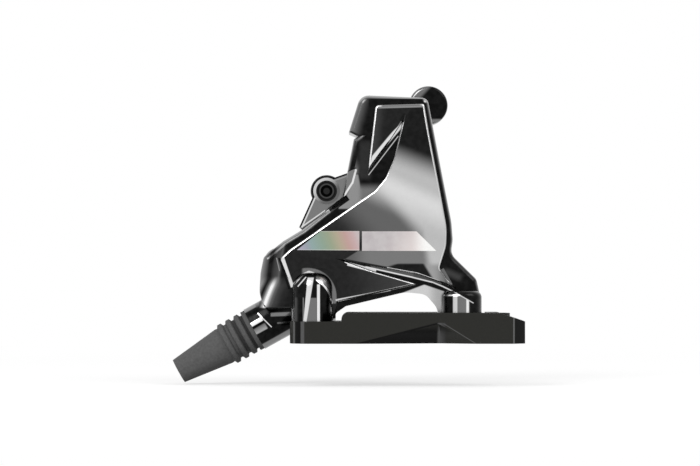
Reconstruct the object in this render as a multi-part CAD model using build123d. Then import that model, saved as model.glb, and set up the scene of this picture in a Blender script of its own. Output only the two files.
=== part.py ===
from build123d import *
import math
import os

# A two-piece hydraulic disc brake caliper standing on its adapter plate.
# X runs along the chainstay towards the axle, Y points inboard and Z is up.
# The pieces are drawn about the rotor plane, and export moves them so that
# the origin lies midway between the frame bolts on the adapter's underside.

os.makedirs("parts", exist_ok=True)

# Frame and rotor
frame_bolt_spacing = 34.0
frame_bolt_diameter = 5.0
thread_core_diameter = 4.2
rotor_offset = 16.0
rotor_diameter = 160.0
rotor_thickness = 1.8
axle_reach = 53.5
axle_drop = 9.8

# General clearances
thread_clearance = 0.05
slide_clearance = 0.15
running_clearance = 0.04
seat_gap = 0.02
overrun = 2.0

# Adapter plate
adapter_shift = 8.3
seat_height = 5.0
rim_height = 7.0
adapter_left_margin = 5.1
adapter_right_margin = 6.0
adapter_half_width = 6.5
adapter_end_radius = 4.6
adapter_back_radius = 5.5
rim_thickness = 2.0
rim_corner_radius = 1.7
frame_boss_radius = 2.7
frame_boss_drop = 0.12
foot_pocket_gap = 0.9
right_end_bevel = 2.6
scallop_depth = 3.6
scallop_corner_radius = 1.1
edge_break = 0.35

# Caliper body
body_length = 51.3
body_height = 51.6
outboard_depth = 17.5
slab_depth = 14.3
slab_rounding = 1.5
panel_rounding = 0.5
slash_width = 0.9
slash_fall = 1.2
crown_radius = 150.0
inboard_depth = 12.0
inboard_rounding = 1.8
housing_depth = 15.2
housing_wall = 3.0
leg_inner_depth = 7.5
leg_height = 7.4
rotor_slot_width = 4.4
rotor_slot_clearance = 2.5
ear_depth = 9.8
ear_boss_radius = 3.4
ear_ring_height = 0.4
ear_edge_break = 0.35

# Feet
foot_radius = 4.56
left_foot_height = 11.0
left_foot_rounding = 3.4
right_foot_height = 6.9
right_foot_rounding = 1.5
foot_relief = 0.4
arch_clearance = 1.1
arch_rounding = 3.8
arch_height = 12.1
arch_depth = 2.0
foot_thread_depth = 5.6

# Pistons and seals
piston_diameter = 18.0
piston_length = 6.8
piston_wall = 1.7
piston_floor = 1.6
piston_edge_break = 0.3
fluid_gap = 1.0
seal_width = 2.0
seal_thickness = 1.5
seal_groove_depth = 7.9

# Pads
pad_lean = 27.6
pin_reach = 16.8
pad_half_length = 12.0
pad_inner_reach = 8.5
pad_outer_reach = 10.0
pad_inner_corner = 4.5
pad_outer_corner = 2.0
pad_tab_radius = 3.7
friction_margin = 1.4
backing_thickness = 1.8
friction_thickness = 2.4
friction_slot_width = 0.9
friction_slot_depth = 1.8
pad_air_gap = 0.3
bay_floor_gap = 0.5

# Pad pin and clip
pin_diameter = 3.0
pin_thread_diameter = 4.0
pin_head_diameter = 4.5
pin_head_height = 1.2
pin_head_recess = 0.3
pin_hex_width = 2.5
pin_hex_depth = 1.8
pin_tail = 1.9
clip_diameter = 5.6
clip_thickness = 0.6
clip_groove_diameter = 2.3
clip_mouth_width = 1.9

# Pad spring
spring_thickness = 0.35
spring_leg_width = 1.0
spring_leg_share = 0.333
pad_travel = 1.0
spring_travel_gap = 0.15

# Body bolts
body_bolt_diameter = 6.0
body_bolt_head_diameter = 9.0
body_bolt_head_height = 4.0
body_bolt_hex_width = 5.0
body_bolt_hex_depth = 2.6
body_bolt_seat_depth = 8.5
body_bolt_grip = 9.0

# Adapter bolts
adapter_bolt_head_diameter = 8.5
adapter_bolt_head_height = 2.6
adapter_bolt_recess = 0.3
adapter_bolt_hex_width = 4.0
adapter_bolt_hex_depth = 1.9
adapter_bolt_hole_diameter = 5.3
adapter_bolt_reach = 5.2

# Hose inlet, nut, olive and boot
hose_diameter = 5.0
hose_lean = 29.0
hose_depth = 5.5
inlet_diameter = 10.3
inlet_length = 15.0
nut_thread_diameter = 8.0
nut_thread_length = 8.0
nut_hex_width = 6.4
nut_hex_length = 3.0
olive_length = 3.6
olive_wall = 0.55
olive_end_wall = 0.25
boot_tip_diameter = 5.8
boot_cone_length = 11.9
boot_cone_diameter = 8.7
boot_rib_diameter = 9.9
boot_groove_diameter = 8.5
boot_rib_count = 3
boot_rib_pitch = 2.15
boot_collar_length = 1.0
boot_rib_shares = ((0.0, 0.0), (0.18, 1.0), (0.58, 1.0), (0.76, 0.0))
bulge_radius = 5.5
bulge_base_radius = 6.4
bulge_rounding = 3.8

# Fluid passages
passage_diameter = 2.0
crossover_seal_diameter = 5.6
crossover_seal_section = 1.4
crossover_groove_depth = 1.1

# Bleed port
bleed_diameter = 9.0
bleed_boss_depth = 14.5
bleed_boss_rounding = 0.9
bleed_bore_diameter = 5.0
bleed_screw_length = 5.0
bleed_floor_depth = 5.6
bleed_screw_hex_width = 2.5
bleed_screw_hex_depth = 3.0
bleed_seal_section = 1.0
bleed_cap_plug_length = 2.4
bleed_cap_plug_wall = 0.7
bleed_cap_flange_thickness = 1.6
bleed_cap_flange_diameter = 7.6
bleed_cap_edge_break = 0.5

# Places on the body, as shares of its length and height
piston_share = (0.600, 0.425)
upper_bolt_share = (0.559, 0.878)
lower_bolt_share = (0.112, 0.217)
crossover_share = (0.223, 0.283)
bleed_share = (0.770, 0.964)
inlet_face_share = (-0.015, -0.041)
bulge_share = (0.137, 0.050, 0.325)
leg_start_share = (0.160, 0.000)
crown_share = (0.000, 0.500)
feet_middle_share = 0.579
scallop_shares = (-0.888, 0.224, 0.700)
scallop_peak_share = (0.195, 0.900)

# Outlines of the body, as shares of its length and height with corner radii
slab_shares = [
    (0.462, 1.000, 0.050), (0.760, 0.987, 0.031), (0.813, 0.710, 0.267), (0.867, 0.436, 0.267),
    (0.873, 0.357, 0.089), (0.864, 0.295, 0.053), (0.978, 0.184, 0.040), (0.991, 0.127, 0.133),
    (1.002, 0.000, 0.0), (0.818, 0.000, 0.0), (0.800, 0.061, 0.053), (0.751, 0.118, 0.062),
    (0.658, 0.127, 0.133), (0.396, 0.065, 0.022), (0.351, 0.034, 0.018), (0.351, 0.000, 0.0),
    (0.156, 0.000, 0.0), (0.147, 0.056, 0.0), (0.034, 0.056, 0.018), (0.010, 0.120, 0.133),
    (0.016, 0.215, 0.133), (0.030, 0.282, 0.027), (0.116, 0.352, 0.020), (0.204, 0.405, 0.0),
    (0.384, 0.547, 0.040), (0.404, 0.664, 0.020), (0.431, 0.803, 0.0), (0.449, 0.817, 0.0),
    (0.410, 0.836, 0.0),
]
panel_shares = [
    (0.528, 0.954, 0.018), (0.744, 0.960, 0.010), (0.767, 0.820, 0.300), (0.807, 0.611, 0.300),
    (0.844, 0.411, 0.300), (0.841, 0.332, 0.120), (0.812, 0.234, 0.020), (0.848, 0.184, 0.020),
    (0.962, 0.080, 0.0), (0.862, 0.154, 0.150), (0.714, 0.207, 0.150), (0.390, 0.266, 0.0),
    (0.510, 0.223, 0.0), (0.715, 0.164, 0.0), (0.360, 0.083, 0.013), (0.338, 0.000, 0.0),
    (0.156, 0.000, 0.0), (0.156, 0.146, 0.0), (0.105, 0.276, 0.020), (0.148, 0.316, 0.030),
    (0.524, 0.575, 0.080), (0.570, 0.631, 0.060), (0.608, 0.718, 0.150), (0.647, 0.879, 0.0),
    (0.495, 0.649, 0.0), (0.501, 0.718, 0.0),
]
slash_shares = [(0.647, 0.879, 0.0), (0.469, 0.610, 0.0), (0.440, 0.660, 0.0), (0.500, 0.735, 0.0)]
ear_shares = [
    (0.427, 0.664, 0.0), (0.316, 0.625, 0.0), (0.258, 0.571, 0.0), (0.187, 0.414, 0.0),
    (0.204, 0.400, 0.0), (0.384, 0.542, 0.044),
]
inboard_bottom_shares = [
    (-0.100, 0.136), (0.640, 0.160), (0.830, 0.240), (1.100, 0.330), (1.100, -0.100), (-0.100, -0.100),
]
ear_pocket_shares = [
    (0.318, 0.478, 0.006), (0.402, 0.532, 0.006), (0.414, 0.566, 0.010), (0.352, 0.528, 0.010),
]
# Values worked out from the sizes above
rotor_radius = rotor_diameter / 2
half_spacing = frame_bolt_spacing / 2
foot_xs = (-adapter_shift - half_spacing, -adapter_shift + half_spacing)
body_left = -adapter_shift - feet_middle_share * body_length
bolt_line = -rotor_offset
rounding_floor = seat_height + leg_height
friction_face = rotor_thickness / 2 + pad_air_gap
backing_face = friction_face + friction_thickness
piston_face = backing_face + backing_thickness
bay_depth = piston_face + bay_floor_gap
bore_radius = piston_diameter / 2 + running_clearance
bore_end = piston_face + piston_length + fluid_gap
pad_plane_x = (-math.cos(math.radians(pad_lean)), 0, math.sin(math.radians(pad_lean)))
hose_way = Vector(-math.cos(math.radians(hose_lean)), 0, -math.sin(math.radians(hose_lean)))


def place(share):
    """A place on the body's side view, from shares of its length and height."""
    return (body_left + share[0] * body_length, seat_height + share[1] * body_height)


def at(place_xz, y):
    """A point in space from a place on the side view and a depth."""
    return Vector(place_xz[0], y, place_xz[1])


def outline(points, radii):
    """A closed face with rounded corners, drawn on local axes."""
    return make_face(FilletPolyline(*points, radius=radii, close=True))


def body_outline(shares):
    """A side-view outline of the body from its table of shares."""
    points = [place(row) for row in shares]
    radii = [row[2] * body_length for row in shares]
    return outline(points, radii)


def side_prism(face, y_from, y_to):
    """A side-view face pushed through the part from one depth to another."""
    start = Plane(origin=(0, y_to, 0), x_dir=(1, 0, 0), z_dir=(0, -1, 0))
    return start * extrude(face, amount=y_to - y_from)


def bar(start, end, radius):
    """A round bar from one point to another."""
    axis = Vector(end) - Vector(start)
    ends = Plane(origin=start, z_dir=axis)
    return ends * Cylinder(radius, axis.length, align=(Align.CENTER, Align.CENTER, Align.MIN))


def ring(start, end, outer_radius, inner_radius):
    """A round sleeve from one point to another."""
    reach = (Vector(end) - Vector(start)).normalized() * overrun
    return bar(start, end, outer_radius) - bar(Vector(start) - reach, Vector(end) + reach, inner_radius)


def hex_bar(start, end, width):
    """A six-sided bar from one point to another, by its width across flats."""
    axis = Vector(end) - Vector(start)
    ends = Plane(origin=start, z_dir=axis)
    return ends * extrude(RegularPolygon(width / 2, 6, major_radius=False), amount=axis.length)


def block(low, high):
    """A box between two corners."""
    size = [b - a for a, b in zip(low, high)]
    return Pos(*low) * Box(*size, align=(Align.MIN, Align.MIN, Align.MIN))


piston_place = place(piston_share)
upper_bolt_place = place(upper_bolt_share)
lower_bolt_place = place(lower_bolt_share)
crossover_place = place(crossover_share)
bleed_place = place(bleed_share)
inlet_place = place(inlet_face_share)
pin_place = (piston_place[0] + pin_reach * pad_plane_x[0], piston_place[1] + pin_reach * pad_plane_x[2])
rotor_place = (axle_reach, -axle_drop)
inlet_point = at(inlet_place, -hose_depth)


def pad_plane(y):
    """The pads' plane at a depth: its first axis points out to the pin."""
    return Plane(origin=at(piston_place, y), x_dir=pad_plane_x, z_dir=(0, 1, 0))


def mirrored(shape):
    """The same shape on the other side of the rotor plane."""
    return mirror(shape, about=Plane.XZ)


def save(shape, name):
    """Move a finished piece to the part's own frame and write it."""
    export_step(Pos(0, rotor_offset, 0) * shape, f"parts/{name}.step")


def rotor_slot():
    """The gap that the rotor runs in, on both sides of its plane."""
    half = rotor_slot_width / 2
    return bar(at(rotor_place, -half), at(rotor_place, half), rotor_radius + rotor_slot_clearance)


def pad_bay():
    """The space that the pads slide in, open outwards so that they can be lifted out."""
    low = -pad_inner_reach - slide_clearance
    high = pin_reach * 2
    half = pad_half_length + slide_clearance
    corner = pad_inner_corner
    face = outline([(low, -half), (high, -half), (high, half), (low, half)], [corner, 0, 0, corner])
    return pad_plane(-bay_depth) * extrude(face, amount=bay_depth * 2)


def piston_bore():
    """The outboard bore with its seal groove and the fluid space behind the piston."""
    bore = bar(at(piston_place, 0), at(piston_place, -bore_end), bore_radius)
    groove_start = at(piston_place, -seal_groove_depth + seat_gap)
    groove_end = at(piston_place, -seal_groove_depth - seal_width - seat_gap)
    return bore + bar(groove_start, groove_end, bore_radius + seal_thickness)


def chamber_point(from_place):
    """The corner of the outboard fluid space that lies nearest to a place."""
    way = (at(from_place, 0) - at(piston_place, 0)).normalized()
    return at(piston_place, -bore_end + fluid_gap / 2) + way * (bore_radius - passage_diameter / 2)


def side_passages():
    """Drillings from the joint face to the fluid space behind the outboard piston."""
    radius = passage_diameter / 2
    turn = at(crossover_place, -hose_depth)
    down = bar(at(crossover_place, 0), turn, radius)
    return down + bar(turn, chamber_point(crossover_place), radius)


def pin_boss(depth):
    """The round end of an ear, about the pad pin."""
    return bar(at(pin_place, 0), at(pin_place, -depth), ear_boss_radius)


def slash_bevel():
    """The bright bevel along the slash: a wedge whose floor falls towards the notch."""
    tip, foot_of_slash = place(slash_shares[0]), place(slash_shares[1])
    along = at(tip, 0) - at(foot_of_slash, 0)
    across = along.cross(Vector(0, 1, 0)).normalized()
    if across.X > 0:
        across = across * -1
    start = at(tip, -outboard_depth) + across * slash_width
    floor = Plane(origin=start, x_dir=along, z_dir=Vector(0, -slash_width, 0) - across * slash_fall)
    reach = body_length * 2
    above = floor * Box(reach, reach, reach, align=(Align.CENTER, Align.CENTER, Align.MIN))
    return side_prism(body_outline(slash_shares), -outboard_depth - overrun, -slab_depth) & above


def foot(x, height, rounding):
    """A round foot that takes an adapter bolt, with a rounded top."""
    post = Pos(x, bolt_line, seat_height) * Cylinder(
        foot_radius, height, align=(Align.CENTER, Align.CENTER, Align.MIN)
    )
    return fillet(post.edges().sort_by(Axis.Z)[-1], rounding)


def left_arch():
    """The round-topped recess in the front about the left foot."""
    radius = foot_radius + arch_clearance
    arch = Pos(foot_xs[0], bolt_line, seat_height - overrun) * Cylinder(
        radius, arch_height + overrun, align=(Align.CENTER, Align.CENTER, Align.MIN)
    )
    arch = fillet(arch.edges().sort_by(Axis.Z)[-1], arch_rounding)
    low = (foot_xs[0] - radius, bolt_line - radius, seat_height - overrun)
    high = (foot_xs[0] + radius, -outboard_depth + arch_depth, seat_height + arch_height)
    return arch & block(low, high)


def hose_housing():
    """The rounded bulge and the inlet boss at the left of the outboard half."""
    centre_x, base_z = place(bulge_share[:2])
    height = (bulge_share[2] - bulge_share[1]) * body_height
    bulge = Pos(centre_x, -hose_depth, base_z) * Cone(
        bulge_base_radius, bulge_radius, height, align=(Align.CENTER, Align.CENTER, Align.MIN)
    )
    bulge = fillet(bulge.edges().sort_by(Axis.Z)[-1], bulge_rounding)
    inlet = bar(inlet_point, inlet_point - hose_way * inlet_length, inlet_diameter / 2)
    return bulge + inlet


def inlet_bore():
    """The threaded mouth for the compression nut, the hose seat and the fluid drilling."""
    mouth = inlet_point + hose_way * overrun
    nut_end = inlet_point - hose_way * (nut_thread_length + seat_gap)
    hose_end = nut_end - hose_way * olive_length
    radius = nut_thread_diameter / 2 + thread_clearance
    seat_radius = hose_diameter / 2 + olive_wall + thread_clearance
    corner = Vector(crossover_place[0], -hose_depth, hose_end.Z)
    bore = bar(mouth, nut_end, radius) + bar(nut_end, hose_end, seat_radius)
    bore += bar(hose_end, corner, passage_diameter / 2)
    return bore + bar(corner, at(crossover_place, -hose_depth), passage_diameter / 2)


def outboard_half():
    """The outer body half: slab, raised face, ear, feet and hose inlet."""
    slab = side_prism(body_outline(slab_shares), -slab_depth, 0)
    front_edges = slab.faces().sort_by(Axis.Y)[0].edges()
    body = fillet(front_edges.filter_by(lambda edge: edge.center().Z > rounding_floor), slab_rounding)
    crown_height = place(crown_share)[1]
    crown = Pos(0, crown_radius - outboard_depth, crown_height) * Rot(0, 90, 0) * Cylinder(
        crown_radius, body_length * 4
    )
    panel = side_prism(body_outline(panel_shares), -outboard_depth - overrun, -slab_depth + overrun)
    panel = panel & crown
    panel = fillet(panel.faces().sort_by(Axis.Y)[0].edges(), panel_rounding) - slash_bevel()
    relief_top = (foot_xs[1], bolt_line, seat_height + right_foot_height + foot_relief)
    panel -= bar((foot_xs[1], bolt_line, seat_height - overrun), relief_top, foot_radius + foot_relief)
    body += panel
    ear = side_prism(body_outline(ear_shares), -ear_depth, 0) + pin_boss(ear_depth)
    ear = chamfer(ear.faces().sort_by(Axis.Y)[0].edges(), ear_edge_break)
    ring_radius = ear_boss_radius - ear_edge_break
    ear += bar(at(pin_place, -ear_depth), at(pin_place, -ear_depth - ear_ring_height), ring_radius)
    body += ear
    body += hose_housing()
    body -= left_arch()
    body += foot(foot_xs[0], left_foot_height, left_foot_rounding)
    body += foot(foot_xs[1], right_foot_height, right_foot_rounding)
    body -= block(
        (place(leg_start_share)[0], -leg_inner_depth, -overrun),
        (body_left + body_length * 2, overrun, seat_height + leg_height),
    )
    body -= block(
        (body_left - body_length, 0, -body_height),
        (body_left + body_length * 2, housing_depth, body_height * 2),
    )
    body -= rotor_slot()
    body -= pad_bay()
    body -= piston_bore()
    body -= side_passages()
    body -= inlet_bore()
    body -= side_prism(body_outline(ear_pocket_shares), -outboard_depth, -bay_depth + overrun)
    for bolt_place in (upper_bolt_place, lower_bolt_place):
        hole_end = at(bolt_place, -body_bolt_grip - overrun)
        body -= bar(at(bolt_place, overrun), hole_end, body_bolt_diameter / 2 + thread_clearance)
    pin_radius = pin_thread_diameter / 2 + thread_clearance
    body -= bar(at(pin_place, 0), at(pin_place, -outboard_depth), pin_radius)
    head_seat = -ear_depth - ear_ring_height + pin_head_recess + pin_head_height
    head_radius = pin_head_diameter / 2 + slide_clearance
    body -= bar(at(pin_place, head_seat), at(pin_place, -outboard_depth), head_radius)
    for x in foot_xs:
        hole_top = (x, bolt_line, seat_height + foot_thread_depth)
        hole_radius = frame_bolt_diameter / 2 + thread_clearance
        body -= bar((x, bolt_line, seat_height - overrun), hole_top, hole_radius)
    return body


def bleed_bore():
    """The bleed port's bore, its floor under the screw and the drilling to the piston."""
    floor = at(bleed_place, bleed_floor_depth)
    mouth = at(bleed_place, bleed_boss_depth + overrun)
    outboard_chamber = chamber_point(bleed_place)
    chamber = Vector(outboard_chamber.X, -outboard_chamber.Y, outboard_chamber.Z)
    bore = bar(floor, mouth, bleed_bore_diameter / 2 + thread_clearance)
    return bore + bar(floor, chamber, passage_diameter / 2)


def inboard_half():
    """The inner body half: slab, piston housing, ear and bleed boss."""
    body = side_prism(body_outline(slab_shares), 0, inboard_depth)
    body = fillet(body.faces().sort_by(Axis.Y)[-1].edges(), slab_rounding)
    housing = bar(at(piston_place, 0), at(piston_place, housing_depth), bore_radius + housing_wall)
    housing_edge = housing.edges().filter_by(GeomType.CIRCLE).sort_by(Axis.Y)[-1]
    body += fillet(housing_edge, inboard_rounding)
    body += mirrored(side_prism(body_outline(ear_shares), -ear_depth, 0) + pin_boss(ear_depth))
    below = [place(share) for share in inboard_bottom_shares]
    body -= side_prism(make_face(Polyline(*below, close=True)), -overrun, housing_depth + overrun)
    body -= rotor_slot()
    boss_start = rotor_slot_width / 2 + slide_clearance
    boss = bar(at(bleed_place, boss_start), at(bleed_place, bleed_boss_depth), bleed_diameter / 2)
    body += fillet(boss.edges().filter_by(GeomType.CIRCLE), bleed_boss_rounding)
    body -= pad_bay()
    body -= mirrored(piston_bore())
    body -= mirrored(side_passages())
    body -= bleed_bore()
    groove_end = at(crossover_place, crossover_groove_depth)
    body -= bar(at(crossover_place, -overrun), groove_end, crossover_seal_diameter / 2)
    for bolt_place in (upper_bolt_place, lower_bolt_place):
        outside = at(bolt_place, inboard_depth * 2)
        body -= bar(at(bolt_place, -overrun), outside, body_bolt_diameter / 2 + slide_clearance)
        seat = at(bolt_place, body_bolt_seat_depth)
        body -= bar(seat, outside, body_bolt_head_diameter / 2 + slide_clearance)
    body -= bar(at(pin_place, 0), at(pin_place, inboard_depth * 2), pin_diameter / 2 + thread_clearance)
    return body


def outboard_piston():
    """A cup whose open rim bears on the pad's backing."""
    radius = piston_diameter / 2
    back = at(piston_place, -piston_face - piston_length)
    cup = bar(at(piston_place, -piston_face), back, radius)
    cup = chamfer(cup.edges().filter_by(GeomType.CIRCLE), piston_edge_break)
    hollow_end = at(piston_place, -piston_face - piston_length + piston_floor)
    return cup - bar(at(piston_place, 0), hollow_end, radius - piston_wall)


def outboard_piston_seal():
    """The square-section ring in the bore's groove."""
    start = at(piston_place, -seal_groove_depth)
    end = at(piston_place, -seal_groove_depth - seal_width)
    inner = piston_diameter / 2 + running_clearance / 2
    return ring(start, end, bore_radius + seal_thickness - seat_gap, inner)


def pad_face(inset):
    """The pad's plan about the piston's centre, drawn in from its edge by an inset."""
    low = -pad_inner_reach + inset
    high = pad_outer_reach - inset
    half = pad_half_length - inset
    points = [(low, -half), (high, -half), (high, half), (low, half)]
    return outline(points, [pad_inner_corner, pad_outer_corner, pad_outer_corner, pad_inner_corner])


def outboard_pad_backing():
    """The steel plate of the pad, with the tab that hangs on the pin."""
    tab = Pos(pin_reach / 2, 0) * Rectangle(pin_reach, pad_tab_radius * 2)
    plan = pad_face(0) + tab + Pos(pin_reach, 0) * Circle(pad_tab_radius)
    plan -= Pos(pin_reach, 0) * Circle(pin_diameter / 2 + running_clearance)
    return pad_plane(-piston_face) * extrude(plan, amount=backing_thickness)


def outboard_pad_friction():
    """The moulded block on the plate, with its dust groove."""
    block_part = pad_plane(-backing_face) * extrude(pad_face(friction_margin), amount=friction_thickness)
    groove = Box(body_length, friction_slot_width, friction_slot_depth * 2)
    return block_part - pad_plane(-friction_face) * groove


def pad_spring():
    """A bent leaf that hangs on the pin, with a leg beside each end of both pads."""
    outer = backing_face - pad_travel - spring_travel_gap
    inner = outer - spring_thickness
    leg_middle = pad_half_length - friction_margin + slide_clearance + spring_leg_width / 2
    arm_reach = pad_outer_reach + slide_clearance + spring_leg_width
    leg_low = -pad_inner_reach * spring_leg_share
    width = leg_middle * 2 + spring_leg_width
    plan = Pos(arm_reach - spring_leg_width / 2, 0) * Rectangle(spring_leg_width, width)
    for side in (-1, 1):
        leg = Rectangle(arm_reach - leg_low, spring_leg_width)
        plan += Pos((arm_reach + leg_low) / 2, side * leg_middle) * leg
    eye_radius = pin_diameter / 2 + spring_leg_width
    plan += Pos((arm_reach + pin_reach) / 2 - spring_leg_width / 2, 0) * Rectangle(
        pin_reach - arm_reach + spring_leg_width, eye_radius * 2
    )
    plan += Pos(pin_reach, 0) * Circle(eye_radius)
    plan -= Pos(pin_reach, 0) * Circle(pin_diameter / 2 + thread_clearance)
    spring = pad_plane(-outer) * extrude(plan, amount=spring_thickness)
    spring += pad_plane(inner) * extrude(plan, amount=spring_thickness)
    bridge = Box(spring_thickness, pad_half_length, outer * 2)
    return spring + pad_plane(0) * Pos(arm_reach - spring_thickness / 2, 0) * bridge


def pad_pin():
    """A headed pin screwed into the outboard ear, with a clip groove at its tail."""
    head_front = -ear_depth - ear_ring_height + pin_head_recess
    head_seat = head_front + pin_head_height
    tail = ear_depth + pin_tail
    pin = bar(at(pin_place, head_front), at(pin_place, head_seat), pin_head_diameter / 2)
    pin += bar(at(pin_place, head_seat), at(pin_place, -bay_depth), pin_thread_diameter / 2)
    pin += bar(at(pin_place, -bay_depth), at(pin_place, tail), pin_diameter / 2)
    socket_end = at(pin_place, head_front + pin_hex_depth)
    pin -= hex_bar(at(pin_place, head_front - overrun), socket_end, pin_hex_width)
    groove_end = at(pin_place, ear_depth + clip_thickness + seat_gap * 2)
    return pin - ring(at(pin_place, ear_depth), groove_end, pin_diameter, clip_groove_diameter / 2)


def pad_pin_clip():
    """The open spring clip in the groove at the pin's inner end."""
    start = ear_depth + seat_gap
    end = start + clip_thickness
    inner = clip_groove_diameter / 2 + seat_gap
    clip = ring(at(pin_place, start), at(pin_place, end), clip_diameter / 2, inner)
    mouth = Pos(clip_diameter / 2, 0, clip_thickness / 2) * Box(
        clip_diameter, clip_mouth_width, clip_thickness * 2
    )
    return clip - Plane(origin=at(pin_place, start), x_dir=pad_plane_x, z_dir=(0, 1, 0)) * mouth


def body_bolt(bolt_place):
    """A socket screw from the inboard side, threaded into the outboard half."""
    head_end = at(bolt_place, body_bolt_seat_depth + body_bolt_head_height)
    head = bar(at(bolt_place, body_bolt_seat_depth), head_end, body_bolt_head_diameter / 2)
    head = chamfer(head.edges().filter_by(GeomType.CIRCLE).sort_by(Axis.Y)[-1], edge_break)
    shank_end = at(bolt_place, -body_bolt_grip)
    bolt = head + bar(at(bolt_place, body_bolt_seat_depth), shank_end, body_bolt_diameter / 2)
    floor = head_end - Vector(0, body_bolt_hex_depth, 0)
    return bolt - hex_bar(floor, head_end + Vector(0, overrun, 0), body_bolt_hex_width)


def crossover_seal():
    """The ring in the inboard half's joint face, pressed flat by the outboard half."""
    start = at(crossover_place, seat_gap)
    end = at(crossover_place, crossover_groove_depth - seat_gap)
    outer = crossover_seal_diameter / 2 - seat_gap
    return ring(start, end, outer, outer - crossover_seal_section)


def bleed_screw():
    """The screw in the bleed port, with its sealing tip and the groove of its ring."""
    radius = bleed_bore_diameter / 2
    tip_end = bleed_floor_depth + bleed_seal_section
    top = tip_end + bleed_screw_length
    tip = Plane(origin=at(bleed_place, bleed_floor_depth + seat_gap), z_dir=(0, 1, 0)) * Cone(
        passage_diameter / 2, radius, bleed_seal_section, align=(Align.CENTER, Align.CENTER, Align.MIN)
    )
    start = at(bleed_place, tip_end + seat_gap)
    screw = tip + bar(start, at(bleed_place, top), radius)
    groove_start = at(bleed_place, tip_end + bleed_seal_section)
    groove_end = at(bleed_place, tip_end + bleed_seal_section * 2)
    screw -= ring(groove_start, groove_end, radius + overrun, radius - bleed_seal_section)
    floor = at(bleed_place, top - bleed_screw_hex_depth + bleed_seal_section)
    return screw - hex_bar(floor, at(bleed_place, top + overrun), bleed_screw_hex_width)


def bleed_screw_seal():
    """The ring in the bleed screw's groove."""
    groove_start = bleed_floor_depth + bleed_seal_section * 2
    start = at(bleed_place, groove_start + seat_gap)
    end = at(bleed_place, groove_start + bleed_seal_section - seat_gap)
    radius = bleed_bore_diameter / 2
    return ring(start, end, radius, radius - bleed_seal_section + seat_gap)


def bleed_cap():
    """The soft cap that keeps dirt out of the bleed port: a plug under a round flange."""
    plug_start = at(bleed_place, bleed_boss_depth - bleed_cap_plug_length)
    face = at(bleed_place, bleed_boss_depth)
    flange_end = at(bleed_place, bleed_boss_depth + bleed_cap_flange_thickness)
    flange = bar(face, flange_end, bleed_cap_flange_diameter / 2)
    flange = fillet(flange.edges().filter_by(GeomType.CIRCLE).sort_by(Axis.Y)[-1], bleed_cap_edge_break)
    plug_radius = bleed_bore_diameter / 2
    hollow = bar(plug_start, face, plug_radius - bleed_cap_plug_wall)
    return flange + bar(plug_start, face, plug_radius) - hollow


def compression_nut():
    """The hollow nut that presses the olive home, with its hexagon outside the port."""
    face = inlet_point + hose_way * seat_gap
    hex_end = face + hose_way * nut_hex_length
    thread_end = inlet_point - hose_way * nut_thread_length
    nut = hex_bar(face, hex_end, nut_hex_width) + bar(thread_end, face, nut_thread_diameter / 2)
    hose_radius = hose_diameter / 2 + thread_clearance
    return nut - bar(thread_end - hose_way * overrun, hex_end + hose_way * overrun, hose_radius)


def olive():
    """The soft ring that the nut closes on the hose, coned at both ends."""
    start = inlet_point - hose_way * (nut_thread_length + seat_gap * 2)
    end = start - hose_way * (olive_length - seat_gap * 2)
    barrel = bar(start, end, hose_diameter / 2 + olive_wall)
    barrel = chamfer(barrel.edges().filter_by(GeomType.CIRCLE), olive_wall - olive_end_wall)
    inner = hose_diameter / 2 + seat_gap
    return barrel - bar(start + hose_way * overrun, end - hose_way * overrun, inner)


def hose_boot():
    """The rubber strain relief: collar, ribs and a long cone, bored for the hose."""
    groove = boot_groove_diameter / 2
    crest = boot_rib_diameter / 2
    start = seat_gap
    points = [(start, 0), (start, crest), (boot_collar_length, crest), (boot_collar_length, groove)]
    ribs_start = boot_collar_length + boot_rib_pitch / 4
    for rib in range(boot_rib_count):
        foot_s = ribs_start + rib * boot_rib_pitch
        for along_share, rise_share in boot_rib_shares:
            points.append((foot_s + along_share * boot_rib_pitch, groove + rise_share * (crest - groove)))
    cone_start = ribs_start + boot_rib_count * boot_rib_pitch
    length = cone_start + boot_cone_length
    points.append((cone_start, boot_cone_diameter / 2))
    points.append((length, boot_tip_diameter / 2))
    points.append((length, 0))
    boot_plane = Plane(origin=inlet_point, x_dir=hose_way, z_dir=(0, 1, 0))
    boot = boot_plane * revolve(make_face(Polyline(*points, close=True)), axis=Axis.X)
    tip = inlet_point + hose_way * (length + overrun)
    boot -= bar(inlet_point, tip, hose_diameter / 2 + thread_clearance)
    nut_room = nut_hex_width / math.sqrt(3) + thread_clearance
    return boot - bar(inlet_point, inlet_point + hose_way * (nut_hex_length + seat_gap * 3), nut_room)


def scallop():
    """The slanting hollow in the adapter's front face, deepest at its lower corner."""
    front = bolt_line - adapter_half_width
    left, corner, right = [share * half_spacing for share in scallop_shares]
    points = [(left, front), (corner, front + scallop_depth), (right, front), (corner, front - overrun)]
    plan = outline(points, [0, scallop_corner_radius, 0, 0])
    peak = Vector(scallop_peak_share[0] * half_spacing, front, scallop_peak_share[1] * seat_height)
    return loft([plan, Vertex(peak)])


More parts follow.
